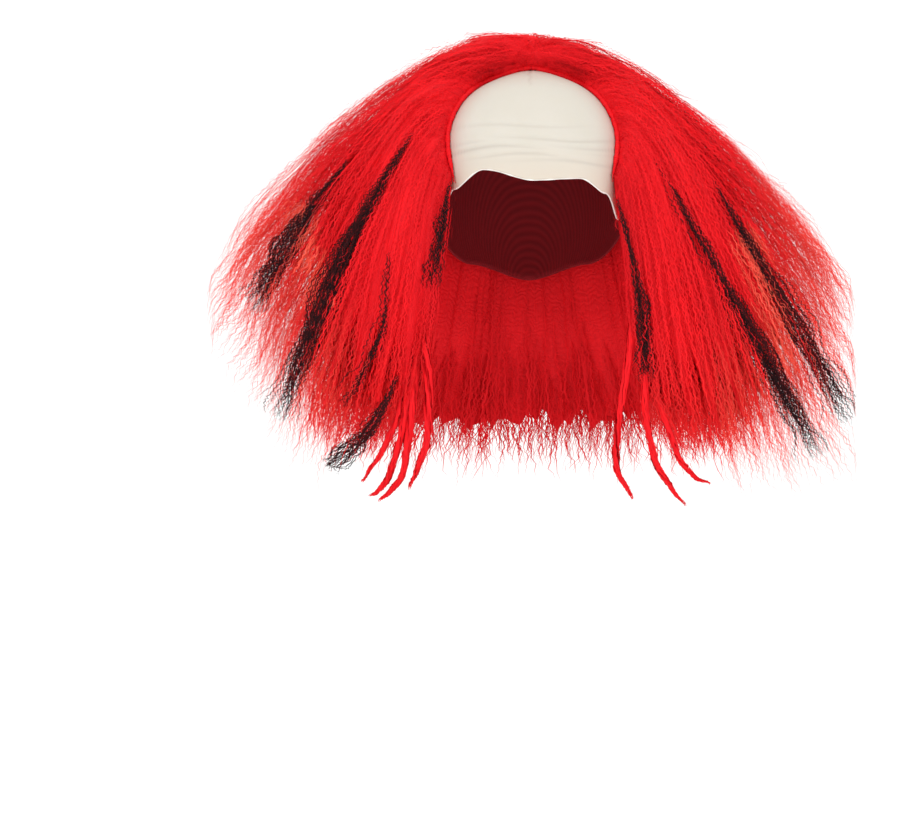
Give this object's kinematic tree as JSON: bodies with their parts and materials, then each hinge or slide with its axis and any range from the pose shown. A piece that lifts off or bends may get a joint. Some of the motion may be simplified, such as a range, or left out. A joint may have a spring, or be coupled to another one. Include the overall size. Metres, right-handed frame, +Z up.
{
  "type": "clown wig",
  "caption": "Clown wig: off-white bald dome with a rolled front edge, wide crimped red hair with black streaks, and twisted wisps at the front.",
  "frame": {"origin": "middle of the head opening, at the height of the dome's front edge", "axes": "+Z up, -Y the wig's front, +X to the right of someone who looks at its front"},
  "size_m": [0.5348, 0.2673, 0.3922],
  "materials": {
    "dome": "soft satin, off-white",
    "base": "matte stretch net",
    "red_hair": "crimped synthetic hair",
    "black_hair": "crimped synthetic hair"
  },
  "bodies": {
    "root": {"bald_dome": "dome", "wig_base": "base", "hair": "red_hair", "streak_left_outer": "black_hair", "streak_left_middle": "black_hair", "streak_left_short": "black_hair", "streak_left_inner": "black_hair", "streak_left_low": "black_hair", "streak_right_outer": "black_hair", "streak_right_middle": "black_hair", "streak_right_inner": "black_hair"}
  },
  "joints": []
}
